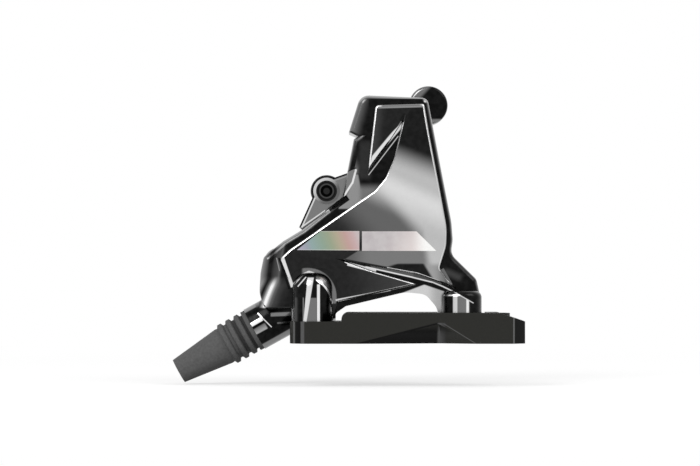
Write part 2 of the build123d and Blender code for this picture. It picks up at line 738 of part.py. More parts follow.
def adapter_plate():
    """The plate between frame and caliper: seats for the feet, rim, and frame threads."""
    left = foot_xs[0] - adapter_left_margin
    right = half_spacing + adapter_right_margin
    front = bolt_line - adapter_half_width
    back = bolt_line + adapter_half_width
    bevel = right_end_bevel
    points = [(left, front), (right - bevel, front), (right, front + bevel), (right, back), (left, back)]
    end = adapter_end_radius
    plan = outline(points, [end, edge_break, edge_break, bevel, adapter_back_radius])
    plate = extrude(plan, amount=seat_height)
    step = -half_spacing - rim_corner_radius
    top = [
        (step, seat_height - overrun),
        (step, rim_height),
        (half_spacing, rim_height),
        (right, seat_height),
        (right, seat_height - overrun),
    ]
    rim = side_prism(outline(top, [0, rim_corner_radius, rim_corner_radius, 0, 0]), front, back)
    plate += rim & extrude(plan, amount=rim_height)
    boss_top = rim_height - frame_boss_drop
    boss_foot = (half_spacing, bolt_line, seat_height)
    plate += bar(boss_foot, (half_spacing, bolt_line, boss_top), frame_boss_radius)
    gap = foot_radius + foot_pocket_gap
    plate -= block(
        (foot_xs[1] - gap, front + rim_thickness, seat_height),
        (foot_xs[1] + gap, back + overrun, rim_height + overrun),
    )
    plate -= scallop()
    for x in (-half_spacing, half_spacing):
        plate -= bar((x, bolt_line, -overrun), (x, bolt_line, rim_height + overrun), thread_core_diameter / 2)
    recess = adapter_bolt_recess + adapter_bolt_head_height
    for x in foot_xs:
        plate -= bar((x, bolt_line, -overrun), (x, bolt_line, rim_height), adapter_bolt_hole_diameter / 2)
        head_radius = adapter_bolt_head_diameter / 2 + slide_clearance
        plate -= bar((x, bolt_line, -overrun), (x, bolt_line, recess), head_radius)
    return plate


def adapter_bolt(x):
    """A low-headed screw from the plate's underside into a foot."""
    head_start = adapter_bolt_recess
    seat = adapter_bolt_recess + adapter_bolt_head_height
    head = bar((x, bolt_line, head_start), (x, bolt_line, seat), adapter_bolt_head_diameter / 2)
    head = chamfer(head.edges().filter_by(GeomType.CIRCLE).sort_by(Axis.Z)[0], edge_break)
    shank_end = (x, bolt_line, seat_height + adapter_bolt_reach)
    bolt = head + bar((x, bolt_line, seat), shank_end, frame_bolt_diameter / 2)
    socket_end = (x, bolt_line, head_start + adapter_bolt_hex_depth)
    return bolt - hex_bar((x, bolt_line, -overrun), socket_end, adapter_bolt_hex_width)


# Build and write every piece
piston = outboard_piston()
piston_seal = outboard_piston_seal()
pad_backing = outboard_pad_backing()
pad_friction = outboard_pad_friction()
save(outboard_half(), "outboard_half")
save(inboard_half(), "inboard_half")
save(piston, "outboard_piston")
save(mirrored(piston), "inboard_piston")
save(piston_seal, "outboard_piston_seal")
save(mirrored(piston_seal), "inboard_piston_seal")
save(pad_backing, "outboard_pad_backing")
save(mirrored(pad_backing), "inboard_pad_backing")
save(pad_friction, "outboard_pad_friction")
save(mirrored(pad_friction), "inboard_pad_friction")
save(pad_spring(), "pad_spring")
save(pad_pin(), "pad_pin")
save(pad_pin_clip(), "pad_pin_clip")
save(body_bolt(upper_bolt_place), "upper_body_bolt")
save(body_bolt(lower_bolt_place), "lower_body_bolt")
save(crossover_seal(), "crossover_seal")
save(bleed_screw(), "bleed_screw")
save(bleed_screw_seal(), "bleed_screw_seal")
save(bleed_cap(), "bleed_cap")
save(compression_nut(), "compression_nut")
save(olive(), "olive")
save(hose_boot(), "hose_boot")
save(adapter_plate(), "adapter_plate")
save(adapter_bolt(foot_xs[0]), "left_adapter_bolt")
save(adapter_bolt(foot_xs[1]), "right_adapter_bolt")
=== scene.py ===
import bpy
import bmesh
import math
from mathutils import Matrix, Vector


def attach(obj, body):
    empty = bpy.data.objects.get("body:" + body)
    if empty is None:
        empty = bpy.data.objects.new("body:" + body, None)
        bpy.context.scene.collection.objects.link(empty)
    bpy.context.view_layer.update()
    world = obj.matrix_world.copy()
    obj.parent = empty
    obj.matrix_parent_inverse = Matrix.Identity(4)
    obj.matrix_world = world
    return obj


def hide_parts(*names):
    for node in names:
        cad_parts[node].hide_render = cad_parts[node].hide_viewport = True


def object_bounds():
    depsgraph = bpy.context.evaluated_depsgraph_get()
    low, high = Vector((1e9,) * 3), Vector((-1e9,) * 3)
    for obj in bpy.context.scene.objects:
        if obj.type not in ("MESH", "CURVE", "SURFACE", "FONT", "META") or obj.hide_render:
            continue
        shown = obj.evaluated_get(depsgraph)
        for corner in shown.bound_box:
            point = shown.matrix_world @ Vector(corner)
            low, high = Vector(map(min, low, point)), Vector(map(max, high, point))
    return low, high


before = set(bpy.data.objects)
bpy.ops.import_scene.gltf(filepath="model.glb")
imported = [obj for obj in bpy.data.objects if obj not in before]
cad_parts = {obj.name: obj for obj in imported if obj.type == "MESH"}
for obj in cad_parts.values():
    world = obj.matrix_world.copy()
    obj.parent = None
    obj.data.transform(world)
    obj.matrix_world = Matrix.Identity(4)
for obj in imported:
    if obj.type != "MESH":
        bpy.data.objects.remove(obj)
cad_low, cad_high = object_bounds()

# The camera: a long lens square on the outboard side, as a product shot is taken.
camera_data = bpy.data.cameras.new("camera")
camera_data.lens = 200
camera_data.sensor_width = 36
camera_data.clip_start = 0.01
camera = bpy.data.objects.new("camera", camera_data)
camera.location = (-0.01673, -0.886, 0.02507)
camera.rotation_euler = (math.radians(90), 0, 0)
bpy.context.scene.collection.objects.link(camera)
bpy.context.scene.camera = camera
bpy.context.scene.view_settings.view_transform = "Standard"


# The studio: a pale table that runs out into a white wall, and two large soft lamps.
# The white is seen by the eye and in the polish; the table keeps the object's own soft shadow.
class Signal:
    """A shader value, so that a pattern can be written as a sum."""

    def __init__(self, tree, socket=None):
        self.tree = tree
        self.socket = socket

    def node(self, kind, settings=None, **values):
        """Adds a node: its settings first, then its sockets by name, or by number as i0, i1."""
        made = self.tree.nodes.new(kind)
        for name, value in (settings or {}).items():
            if name == "stops":
                ramp = made.color_ramp
                while len(ramp.elements) < len(value):
                    ramp.elements.new(1.0)
                for element, (place, colour) in zip(ramp.elements, value):
                    element.position = place
                    element.color = colour
            else:
                setattr(made, name, value)
        for name, value in values.items():
            numbered = name[0] == "i" and name[1:].isdigit()
            socket = made.inputs[int(name[1:]) if numbered else name]
            if isinstance(value, Signal):
                self.tree.links.new(value.socket, socket)
            else:
                socket.default_value = value
        return made

    def out(self, kind, settings=None, output=0, **values):
        return Signal(self.tree, self.node(kind, settings, **values).outputs[output])

    def math(self, operation, *values):
        numbered = {f"i{place}": value for place, value in enumerate((self, *values))}
        return self.out("ShaderNodeMath", {"operation": operation}, **numbered)

    def __add__(self, other):
        return self.math("ADD", other)

    __radd__ = __add__

    def __sub__(self, other):
        return self.math("SUBTRACT", other)

    def __rsub__(self, other):
        return self.math("MULTIPLY_ADD", -1.0, other)

    def __mul__(self, other):
        return self.math("MULTIPLY", other)

    __rmul__ = __mul__

    def ease(self, low, high):
        """0 at low and 1 at high, with a smooth step between them; low may be the larger."""
        sockets = {"i0": self, "i1": low, "i2": high, "i3": 0.0, "i4": 1.0}
        return self.out("ShaderNodeMapRange", {"interpolation_type": "SMOOTHSTEP"}, **sockets)

    def between(self, low, high, soft):
        """1 between two values, with soft ends."""
        half = (high - low) / 2
        return (self - (low + half)).math("ABSOLUTE").ease(half + soft, half - soft)

    def tint(self, first, second):
        """A colour between two colours, by this value."""
        sockets = {"i0": self, "i6": first, "i7": second}
        return self.out("ShaderNodeMix", {"data_type": "RGBA"}, 2, **sockets)

    def ramp(self, low, high, *stops):
        """Greys along this value, from pairs of a value between low and high and a grey."""
        share = (self - low) * (1 / (high - low))
        places = [((value - low) / (high - low), grey(level)) for value, level in stops]
        return share.out("ShaderNodeValToRGB", {"stops": places}, i0=share)


def colour(red, green, blue):
    """A colour given as screen values from 0 to 255, in the renderer's linear light."""
    return (*[((level / 255 + 0.055) / 1.055) ** 2.4 for level in (red, green, blue)], 1.0)


def grey(level):
    return colour(level, level, level)


def seen_directly(tree):
    """1 where the eye, a mirror or glass looks, and 0 where only light is carried."""
    path = Signal(tree).node("ShaderNodeLightPath")
    camera_ray = Signal(tree, path.outputs["Is Camera Ray"])
    glossy_ray = Signal(tree, path.outputs["Is Glossy Ray"])
    glass_ray = Signal(tree, path.outputs["Is Transmission Ray"])
    return camera_ray.math("MAXIMUM", glossy_ray).math("MAXIMUM", glass_ray)


world = bpy.data.worlds.new("studio")
world.use_nodes = True
bpy.context.scene.world = world
background = world.node_tree.nodes["Background"]
background.inputs["Color"].default_value = (1.0, 1.0, 1.0, 1.0)
wall_light = seen_directly(world.node_tree) * 0.35 + 0.65
world.node_tree.links.new(wall_light.socket, background.inputs["Strength"])

floor_level = cad_low.z - 0.0005
floor_reach = 1.5
floor_corners = [(-1, -1), (1, -1), (1, 1), (-1, 1)]
floor_mesh = bpy.data.meshes.new("floor")
floor_places = [(across * floor_reach, deep * floor_reach, floor_level) for across, deep in floor_corners]
floor_mesh.from_pydata(floor_places, [], [(0, 1, 2, 3)])
floor = bpy.data.objects.new("floor", floor_mesh)
bpy.context.scene.collection.objects.link(floor)
table_finish = bpy.data.materials.new("pale table")
table_finish.use_nodes = True
tree = table_finish.node_tree
table = tree.nodes["Principled BSDF"]
table.inputs["Base Color"].default_value = grey(246)
table.inputs["Roughness"].default_value = 0.9
start = Signal(tree)
place = start.out("ShaderNodeTexCoord", None, "Object")
way = Signal(tree, start.node("ShaderNodeVectorMath", {"operation": "LENGTH"}, i0=place).outputs["Value"])
glow = start.out("ShaderNodeEmission", i0=(1.0, 1.0, 1.0, 1.0), i1=1.0)
white_share = seen_directly(tree) * (way.ease(0.06, 0.30) * 0.4 + 0.6)
mixed = start.out("ShaderNodeMixShader", i0=white_share, i1=Signal(tree, table.outputs[0]), i2=glow)
tree.links.new(mixed.socket, tree.nodes["Material Output"].inputs["Surface"])
floor_mesh.materials.append(table_finish)

lamps = {"upper_left": ((-0.45, -0.55, 0.60), 0.45, 4.0), "upper_right": ((0.50, -0.25, 0.55), 0.40, 2.5)}
lamp_aim = Vector((0, 0.01, 0.025))
for name, (place, size, power) in lamps.items():
    lamp_data = bpy.data.lights.new(name, "AREA")
    lamp_data.size = size
    lamp_data.energy = power
    lamp = bpy.data.objects.new(name, lamp_data)
    lamp.location = place
    lamp.rotation_euler = (lamp_aim - Vector(place)).to_track_quat("-Z", "Y").to_euler()
    bpy.context.scene.collection.objects.link(lamp)


# The outboard body half: forged aluminium, milled, then polished and anodised near black.
# Its polish is painted into its colour: painted reflections as soft light and dark fields on
# the crowned face, and painted highlights as bright lines along the edges; they are laid down
# by place on the piece, in mm, and by the way each surface faces.
def finish_named(name, metallic=0.0, roughness=0.5, **fixed):
    """A material with its shader, and the object's own place and surface direction in mm."""
    material = bpy.data.materials.new(name)
    material.use_nodes = True
    tree = material.node_tree
    shader = tree.nodes["Principled BSDF"]
    shader.inputs["Metallic"].default_value = metallic
    shader.inputs["Roughness"].default_value = roughness
    for socket, value in fixed.items():
        shader.inputs[socket.replace("_", " ")].default_value = value
    places = Signal(tree).node("ShaderNodeTexCoord")
    point = Signal(tree, places.outputs["Object"])
    facing = Signal(tree, places.outputs["Normal"])
    parts = point.node("ShaderNodeSeparateXYZ", i0=point)
    place = [Signal(tree, out) * 1000.0 for out in parts.outputs]
    parts = facing.node("ShaderNodeSeparateXYZ", i0=facing)
    return material, shader, point, place, [Signal(tree, out) for out in parts.outputs]


def join(signal, shader, socket):
    """Feeds a signal to one of the shader's sockets."""
    signal.tree.links.new(signal.socket, shader.inputs[socket])


def grain(point, scale, detail=3.0):
    """Soft noise on the object's own place, in metres."""
    return point.out("ShaderNodeTexNoise", Vector=point, Scale=scale, Detail=detail)


def bumped(height, shader, strength, distance):
    """Roughens a surface by a height signal."""
    join(height.out("ShaderNodeBump", Strength=strength, Distance=distance, Height=height), shader, "Normal")


def across_line(x, z, start, end):
    """How far along a line of the side view a place is, and how far to its right."""
    length = math.dist(start, end)
    way_x, way_z = (end[0] - start[0]) / length, (end[1] - start[1]) / length
    along_start = start[0] * way_x + start[1] * way_z
    across_start = start[0] * way_z - start[1] * way_x
    along = x.math("MULTIPLY_ADD", way_x, z.math("MULTIPLY_ADD", way_z, -along_start))
    across = x.math("MULTIPLY_ADD", way_z, z.math("MULTIPLY_ADD", -way_x, -across_start))
    return length, along, across


def right_of(x, z, start, end, soft=0.15):
    """1 on the right of a line of the side view, looking along it."""
    return across_line(x, z, start, end)[2].ease(-soft, soft)


def stroke(x, z, start, end, half, soft=0.08):
    """1 on a straight stroke between two places of the side view."""
    length, along, across = across_line(x, z, start, end)
    return along.between(0.0, length, soft) * across.between(-half, half, soft)


def ring(x, z, centre, radius):
    """How far outside a circle of the side view a place is."""
    from_x, from_z = x - centre[0], z - centre[1]
    return (from_x * from_x + from_z * from_z).math("SQRT") - radius


def painted(base, *layers):
    """Lays tones over a base colour, each where its mask is 1."""
    for mask, tone in layers:
        base = mask.tint(base, tone if isinstance(tone, Signal) else grey(tone))
    return base


def painted_side_shading(nx, ny, nz, x, z):
    """Painted light and shade for the sides, the top and the back, which the front view does not show: the
    top lighter, the underside darker, the right side dark, the left side lighter, the back darker upwards.
    """
    tone = (nz * 0.5 + 0.5).ease(0.2, 0.95).tint(grey(34), grey(122))
    back = (z + x * 0.4).ease(5.0, 52.0).tint(grey(88), grey(34))
    return painted(
        tone, (nx.ease(0.55, 0.95), 30), ((nx * -1).ease(0.7, 1.0), 92), (ny.ease(0.9, 0.99), back)
    )


def worn(tone, point, shader):
    """The polish's own small marks: a faint haze in colour, gloss and surface."""
    haze = grain(point, 900.0, 4.0)
    join((haze.ease(0.3, 0.7) * 0.03).tint(tone, grey(120)), shader, "Base Color")
    join(grain(point, 260.0) * 0.10 + 0.16, shader, "Roughness")
    bumped(grain(point, 2600.0, 2.0), shader, 0.02, 0.00002)


def dressed(node, body, material, crease=24.0):
    """A smooth copy of a CAD piece, creased where its faces turn sharply, which then stands for it."""
    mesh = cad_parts[node].data.copy()
    work = bmesh.new()
    work.from_mesh(mesh)
    bmesh.ops.remove_doubles(work, verts=work.verts, dist=2e-6)
    for face in work.faces:
        face.smooth = True
    for edge in work.edges:
        edge.smooth = edge.is_manifold and edge.calc_face_angle(0.0) < math.radians(crease)
    work.to_mesh(mesh)
    work.free()
    mesh.materials.clear()
    mesh.materials.append(material)
    piece = bpy.data.objects.new(node + "_finished", mesh)
    bpy.context.scene.collection.objects.link(piece)
    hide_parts(node)
    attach(piece, body)
    return piece


body_finish, body, point, (x, y, z), (nx, ny, nz) = finish_named("polished black aluminium", metallic=1.0)
front = ny * -1
flat = front.ease(0.955, 0.985)

# The slab behind the panel: painted highlights on its rims, painted shade near black where it
# meets the panel, and painted reflection fields and lines laid by place.
rim = nz.ease(0.15, 0.4).tint(
    front.ease(0.25, 0.85).tint(grey(150), grey(20)), front.ease(0.55, 0.97).tint(grey(165), grey(20))
)
tower_left = z.ease(46.6, 47.2) * (1 - nz.ease(0.15, 0.5)) * (1 - x.ease(-12.6, -12.2))
tower_fade = (x + (52.0 - z) * 0.27).ease(-17.4, -12.5).tint(grey(142), grey(20))
below_tower = 1 - (z + ((x + 14.35) * 5.0).math("MINIMUM", 0.0)).ease(34.6, 36.8)
below_tower = below_tower * z.between(30.6, 38.4, 0.2) * x.between(-19.3, -8.5, 0.15)
arch_wall = right_of(x, z, (0.57, 13.15), (5.45, 11.5)) * right_of(x, z, (-3.4, 11.9), (0.3, 13.3))
arch_wall = arch_wall * (1 - x.ease(4.7, 4.9))
cheek = right_of(x, z, (-17.6, 38.9), (-15.2, 39.9), 0.08)
cheek = cheek * right_of(x, z, (-15.2, 39.8), (-17.0, 34.3), 0.08)
cheek = cheek * z.ease(33.2, 33.5) * x.between(-19.2, -15.1, 0.1)
slab = painted(
    rim,
    (tower_left, tower_fade),
    (x.between(-14.6, -12.0, 0.6) * z.between(37.5, 46.0, 0.8), 46),
    (below_tower, x.ease(-15.2, -13.6).tint(grey(143), grey(116))),
    (arch_wall, x.ease(0.5, 3.5).tint(grey(206), grey(172))),
    (
        x.ease(5.0, 5.6) * (1 - z.ease(21.0, 22.0)) * nz.ease(0.1, 0.3),
        front.ease(0.25, 0.85).tint(grey(92), grey(20)),
    ),
    (x.between(-12.3, 0.0, 0.3) * z.between(54.4, 55.75, 0.12), 20),
    (stroke(x, z, (4.9, 16.4), (8.6, 14.8), 0.7, 0.7), 62),
    (cheek, 123),
    (stroke(x, z, (-17.6, 39.0), (-15.3, 39.95), 0.10), 12),
    (stroke(x, z, (-15.35, 39.6), (-16.2, 36.4), 0.22), 228),
    (stroke(x, z, (-16.15, 36.6), (-18.3, 33.2), 0.22), 228),
)

# The rounded bulge over the hose inlet, with its one long painted highlight among painted
# reflection bands, and painted near black at its foot.
bulge = (1 - x.ease(-30.3, -29.9)) * (1 - z.ease(21.0, 23.0))
from_left = x + 37.5 - (z - 11.0) * (z - 11.0) * 0.011
low_light = (from_left - (z - 12.0) * 0.4 - 0.94).ramp(
    -1, 7, (-1.0, 150), (-0.7, 118), (-0.25, 59), (0.0, 19), (0.2, 27), (0.65, 91), (1.15, 184), (1.4, 250),
    (1.8, 250), (2.25, 161), (2.75, 97), (3.45, 65), (5.0, 40), (6.5, 26),
)
high_light = from_left.ramp(
    0, 7, (0.0, 150), (1.0, 98), (1.5, 65), (1.8, 30), (2.4, 24), (3.1, 60), (4.0, 76), (4.3, 92),
    (4.8, 34), (5.2, 20),
)
bulge_tone = painted(
    z.ease(12.6, 15.4).tint(low_light, high_light),
    (1 - z.ease(7.6, 8.3), 20),
)
slab = bulge.tint(slab, bulge_tone)

# The hose inlet: a polished tube along the hose, with painted reflection bands by the way round
# the tube and a few painted highlight strokes.
inlet = y.ease(2.2, 2.6) * (1 - x.ease(-29.4, -29.0))
inlet = inlet * (1 - z.ease(7.7, 7.95)).math("MAXIMUM", 1 - x.ease(-37.7, -37.45))
hose_run, hose_climb = 0.875, 0.485
round_tube = nz * hose_run - nx * hose_climb
along_tube = x * hose_run + z * hose_climb
collar = round_tube.ramp(
    -1, 1, (-1.0, 132), (-0.78, 132), (-0.73, 18), (-0.26, 18), (-0.22, 165), (0.0, 110), (0.04, 10),
    (0.14, 10), (0.17, 240), (0.30, 240), (0.34, 12), (0.82, 12), (0.87, 138), (1.0, 138),
)
sleeve = round_tube.ramp(-1, 1, (-1.0, 132), (-0.78, 132), (-0.73, 18), (0.78, 18), (0.9, 110), (1.0, 120))
inlet_tone = painted(
    along_tube.ease(-29.8, -29.4).tint(collar, sleeve),
    (stroke(x, z, (-37.9, 6.7), (-34.7, 3.5), 0.10), 235),
    (stroke(x, z, (-34.9, 6.35), (-30.0, 6.55), 0.42, 0.15), 125),
    (stroke(x, z, (-33.4, 4.4), (-30.0, 4.75), 0.18, 0.12), 108),
)
slab = inlet.tint(slab, inlet_tone)

# The ear: a flat milled cheek with bevelled edges and a low ring about the pin. Its tones are
# painted reflections: highlight lines along its edges, bevels light facing down and right and
# dark facing up and left, and the ring lighter at its upper left.
ear = y.between(4.9, 6.9, 0.1) * (1 - x.ease(-15.9, -15.6)) * z.ease(24.6, 24.9)
bevel = front.between(0.3, 0.85, 0.05)
pin_side = ((z - 34.7) * 0.7 - (x + 22.1) * 0.7).ease(-1.5, 2.5)
ear_tone = painted(
    flat.tint(grey(24), grey(123)),
    (stroke(x, z, (-24.25, 34.2), (-27.9, 26.1), 0.15), 220),
    (stroke(x, z, (-21.6, 36.65), (-16.3, 38.5), 0.10), 160),
    (stroke(x, z, (-28.2, 26.2), (-22.4, 30.25), 0.14), 225),
    (stroke(x, z, (-16.15, 36.6), (-18.3, 33.2), 0.22), 228),
    (bevel, (nz - nx).ease(-0.1, 0.1).tint(grey(228), grey(10))),
    (1 - y.ease(5.86, 5.98), pin_side.tint(grey(100), grey(205))),
)
slab = ear.tint(slab, ear_tone)

# The crowned face, with painted reflections: dark above, a light field with a bright ray, dark at
# the lower left, and a dark patch low in the middle.
face = z.ease(17.5, 23.5).tint(grey(120), grey(100))
face = (x + z * 0.9).ease(3.8, 14.3).tint(grey(42), face)
light = (x * 0.76 + z * 0.65).ease(13.6, 17.6).math("MAXIMUM", (x + z * 0.25).ease(4.2, 7.0))
ray_way = z + x * 0.45 - 32.4
ray = ray_way.ease(-7.0, 0.0) * (1 - ray_way.ease(0.0, 4.0)) * 0.8
lower_left = (1 - right_of(x, z, (-17.64, 19.3), (-15.6, 20.6))) * (1 - z.ease(22.5, 24.0))
under_foil = (1 - z.ease(20.8, 21.2)) * right_of(x, z, (-17.64, 19.3), (-15.6, 20.6))
under_foil = under_foil * (1 - x.ease(-1.5, 1.5))
dark_reflection_patch = (1 - z.ease(17.85, 18.35)) * right_of(x, z, (-8.3, 17.3), (-5.95, 18.15), 0.3)
dark_reflection_patch = dark_reflection_patch * right_of(x, z, (0.1, 18.0), (2.2, 14.65), 0.35)
above_slash = right_of(x, z, (-4.81, 50.36), (-12.6, 38.5)) * z.ease(36.0, 37.0)
face = painted(
    face,
    (light, 188),
    (ray, 224),
    ((z + x * 0.38).ease(37.2, 43.8), 27),
    (above_slash, (x - z * 0.08).ease(-15.5, -12.5).tint(grey(62), grey(34))),
    (under_foil, x.ease(-17.5, -12.0).tint(grey(90), grey(119))),
    (lower_left, 38),
    ((1 - z.ease(17.2, 18.6)) * x.ease(-0.5, 1.5), x.ease(2.0, 5.5).tint(grey(155), grey(108))),
    (dark_reflection_patch, 26),
    (1 - (z + x * 0.205).ease(14.5, 14.8), x.ease(-19.0, -6.0).tint(grey(35), grey(58))),
    (x.ease(4.7, 5.5) * (1 - z.ease(14.6, 15.2)), 22),
    (stroke(x, z, (-10.6, 53.8), (0.0, 54.1), 0.36), 138),
)

# The panel's edges: rounded, with a thin white painted highlight on them; its walls are painted
# near black.
edge = front.between(0.30, 0.962, 0.03)
edge_tone = nx.ease(0.2, 0.8).tint(grey(236), grey(172))
dim_edge = z.ease(37.0, 40.0) * x.ease(-9.9, -9.2) * (1 - x.ease(-1.0, 0.0))
lower_right = x.ease(3.5, 3.9) * (1 - z.ease(17.0, 17.5))
edge_tone = painted(
    edge_tone,
    (dim_edge, 120),
    (nz.ease(0.6, 0.9) * z.ease(50.0, 52.0), 150),
    (lower_right, z.ease(12.5, 16.5).tint(grey(40), grey(112))),
)
panel = painted(flat.tint(grey(18), face), (edge * (1 - flat), edge_tone))

# The feet: upright polished rounds with painted reflection bands across them, and a painted arch
# of light round the left one.
across_foot = x + 25.3 - x.ease(-8.4, -8.2) * 34.0
foot_reflection_bands = across_foot.ramp(
    -4.8, 4.8, (-4.7, 26), (-4.4, 30), (-4.2, 86), (-4.0, 36), (-3.7, 70), (-3.4, 44), (-3.1, 18),
    (-2.15, 16), (-2.0, 200), (-1.2, 208), (-1.0, 114), (0.85, 118), (1.05, 236), (1.45, 236),
    (1.65, 60), (1.9, 24), (4.7, 20),
)
left_foot = 1 - x.ease(-19.0, -18.6)
foot_top = painted(
    foot_reflection_bands,
    (nz.ease(0.45, 0.6), 24),
    (nz.between(0.25, 0.45, 0.08) * (1 - across_foot.ease(1.5, 1.8)), 215),
)
light_band = right_of(x, z, (-27.2, 6.0), (-26.35, 14.9), 0.1)
light_band = light_band * right_of(x, z, (-24.95, 14.9), (-26.5, 5.5), 0.1)
foot_tone = painted(
    foot_top,
    (left_foot * x.ease(-27.4, -27.2), 22),
    (left_foot * z.ease(10.2, 10.6), 22),
    (left_foot * x.between(-26.9, -24.3, 0.08) * (1 - z.ease(10.2, 10.5)), 116),
    (left_foot * light_band * (1 - z.ease(14.8, 15.1)), 222),
    (left_foot * x.between(-24.2, -23.55, 0.08) * (1 - z.ease(13.2, 13.6)), 234),
)
is_foot = 1 - y.ease(-1.85, -1.6)
is_panel = 1 - y.ease(1.2, 1.5)
shown = painted(slab, (is_panel, panel), (is_foot, foot_tone))

# Painted highlights: the arch of light round the left foot and the bright crescent of the slash;
# then painted dark over the slash's tip, and painted shade on the right shoulder and in the slot.
facing_out = front.ease(0.0, 0.1)
behind_foot = facing_out * (1 - y.ease(4.0, 4.6)) * (1 - x.ease(-19.6, -19.2))
outer_arc = ring(x, z, (-26.4, 10.5), 6.6)
inner_arc = ring(x, z, (-27.4, 8.6), 6.4)
crescent = x.ease(-27.9, -27.3) * x.ease(-24.6, -24.2).math("MAXIMUM", z.ease(15.8, 16.1)) * z.ease(8.8, 9.2)
crescent = behind_foot * crescent * (1 - outer_arc.ease(-0.15, 0.15)) * inner_arc.ease(0.3, 0.6)
shown = crescent.tint(shown, grey(116))
arch_line = behind_foot * x.ease(-24.6, -24.2) * z.ease(8.8, 9.2) * inner_arc.between(-0.05, 0.35, 0.08)
shown = arch_line.tint(shown, grey(236))
slash_light = right_of(x, z, (-5.2, 48.77), (-8.5, 44.9))
slash_light = slash_light.math("MAXIMUM", right_of(x, z, (-8.5, 44.9), (-12.55, 39.0)))
slash_light = slash_light * right_of(x, z, (-11.74, 42.52), (-6.87, 48.33))
slash_light = slash_light * right_of(x, z, (-6.87, 48.33), (-4.76, 50.29))
slash_light = slash_light * right_of(x, z, (-12.7, 38.3), (-11.7, 42.6))
slash_light = slash_light * z.ease(38.2, 38.6) * (1 - x.ease(-4.9, -4.7))
shown = stroke(x, z, (-5.0, 50.5), (-4.0, 52.2), 0.55).tint(shown, grey(27))
shown = (slash_light * facing_out).tint(shown, grey(226))
shoulder = x.ease(7.0, 7.6) * (1 - right_of(x, z, (5.9, 12.3), (11.3, 9.16))) * z.between(9.0, 11.6, 0.2)
shown = (shoulder * facing_out).tint(shown, grey(22))
# Painted shade in the slot.
slot = stroke(x, z, (-21.4, 30.2), (-17.2, 33.2), 0.70) * y.ease(1.6, 1.7)
shown = (slot * facing_out).tint(shown, grey(15))

# Straight painted lines that stand for light and dark reflections the polish carries over edges,
# each from its start to its end, with its half width and its tone: under the slash, at the notch
# and over the right foot, then the border.
painted_light_and_shade_lines = (
    ((-29.9, 13.0), (-27.6, 15.55), 0.24, 226),
    ((-27.7, 15.5), (-26.1, 16.25), 0.24, 226),
    ((-26.2, 16.25), (-24.95, 15.85), 0.26, 226),
    ((-28.6, 12.9), (-26.7, 15.1), 0.12, 230),
    ((-5.7, 47.2), (-12.5, 38.3), 0.09, 205),
    ((-21.6, 19.75), (-17.9, 18.5), 0.55, 37),
    ((-17.9, 18.95), (-8.3, 17.15), 0.25, 44),
    ((-12.0, 17.45), (-2.2, 15.5), 0.38, 90),
    ((-2.2, 15.5), (4.2, 13.6), 0.38, 74),
    ((4.2, 16.8), (6.2, 13.2), 0.50, 108),
    ((-17.3, 18.05), (-10.8, 16.35), 0.40, 222),
    ((-13.2, 17.35), (-2.4, 14.95), 0.15, 228),
    ((-2.45, 14.95), (2.2, 13.8), 0.15, 220),
    ((2.2, 13.8), (4.75, 12.75), 0.14, 214),
    ((4.7, 12.75), (7.5, 11.4), 0.13, 226),
    ((7.4, 11.4), (11.3, 9.16), 0.10, 214),
    ((-20.0, 9.75), (-7.5, 12.1), 0.22, 205),
    ((-7.6, 12.1), (-1.8, 13.4), 0.12, 172),
    ((-32.95, 19.4), (-30.6, 12.3), 0.22, 14),
    ((-32.05, 19.3), (-29.85, 12.75), 0.38, 222),
    ((-33.5, 19.4), (-32.8, 16.4), 0.10, 150),
    ((-31.0, 20.9), (-24.2, 25.5), 0.07, 96),
    ((-28.1, 25.7), (-22.2, 29.8), 0.10, 15),
)
for start, end, half, level in painted_light_and_shade_lines:
    shown = (stroke(x, z, start, end, half) * facing_out).tint(shown, grey(level))
tone = front.ease(-0.05, 0.06).tint(painted_side_shading(nx, ny, nz, x, z), shown)
worn(tone, point, body)
dressed("outboard_half", "caliper", body_finish)


# The inner end of the hose inlet, where the casting closes over the olive. The solids leave it
# open where the leg is relieved, so this small wall is made here: turned about the hose's line.
hose_way = Vector((hose_run, 0.0, hose_climb)).normalized()
hose_tip = Vector((-52.668, 10.5, -4.818))


def turned(name, profile, material, steps=64):
    """A solid turned about the hose's line, from places along it and their radii, in mm."""
    mesh = bpy.data.meshes.new(name)
    work = bmesh.new()
    side = hose_way.cross(Vector((0.0, 1.0, 0.0)))
    rings = []
    for along, radius in profile:
        centre = hose_tip + hose_way * along
        angles = [2 * math.pi * step / steps for step in range(steps)]
        spokes = [side * math.cos(angle) + Vector((0.0, math.sin(angle), 0.0)) for angle in angles]
        rings.append([work.verts.new((centre + spoke * radius) / 1000.0) for spoke in spokes])
    for near, far in zip(rings, rings[1:]):
        for step in range(steps):
            after = (step + 1) % steps
            work.faces.new([near[step], near[after], far[after], far[step]])
    work.faces.new(rings[0])
    work.faces.new(rings[-1])
    bmesh.ops.recalc_face_normals(work, faces=work.faces)
    work.to_mesh(mesh)
    work.free()
    mesh.materials.append(material)
    piece = bpy.data.objects.new(name, mesh)
    bpy.context.scene.collection.objects.link(piece)
    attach(piece, "caliper")


turned("inlet_end", ((22.2, 4.4), (27.8, 4.4), (28.2, 4.24), (28.4, 3.9)), body_finish)


